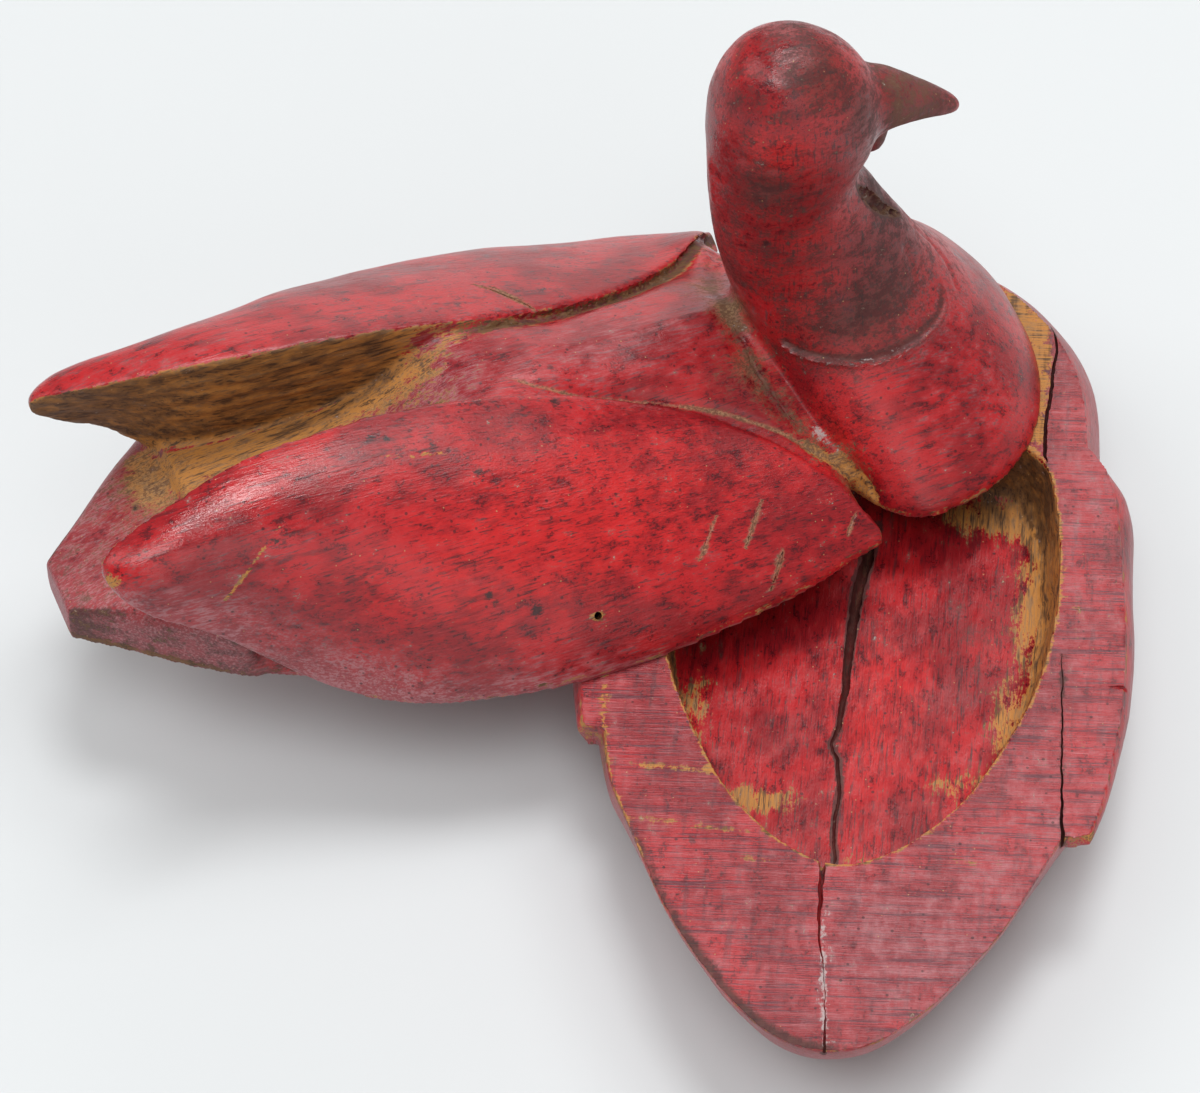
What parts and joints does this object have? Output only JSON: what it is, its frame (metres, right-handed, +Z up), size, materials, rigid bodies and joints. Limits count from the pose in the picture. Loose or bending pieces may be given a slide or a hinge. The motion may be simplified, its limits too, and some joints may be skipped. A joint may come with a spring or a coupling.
{
  "type": "carved wooden duck box",
  "caption": "Carved and painted wooden duck box in two halves, with an oval well in the belly and a lid of back, wings, neck and head that swings on a hidden peg.",
  "frame": {"origin": "middle of the flat underside of the base", "axes": "+Z up, +Y along the base towards the duck's breast, +X to the duck's right; the lid is shown swung open, its tail towards -X"},
  "size_m": [0.1957, 0.1867, 0.1186],
  "materials": {
    "base_wood": "worn red paint on pale wood, flat rim duller",
    "lid_wood": "worn glossy red paint on pale wood"
  },
  "bodies": {
    "base": {"base": "base_wood"},
    "lid": {"lid": "lid_wood"}
  },
  "joints": [
    {"name": "lid_swivel", "type": "hinge", "parent": "base", "child": "lid", "pos_m": [0, 0.062, 0.0283], "axis": [0, 0, 1], "range_deg": [-27.5, 62.5]}
  ]
}
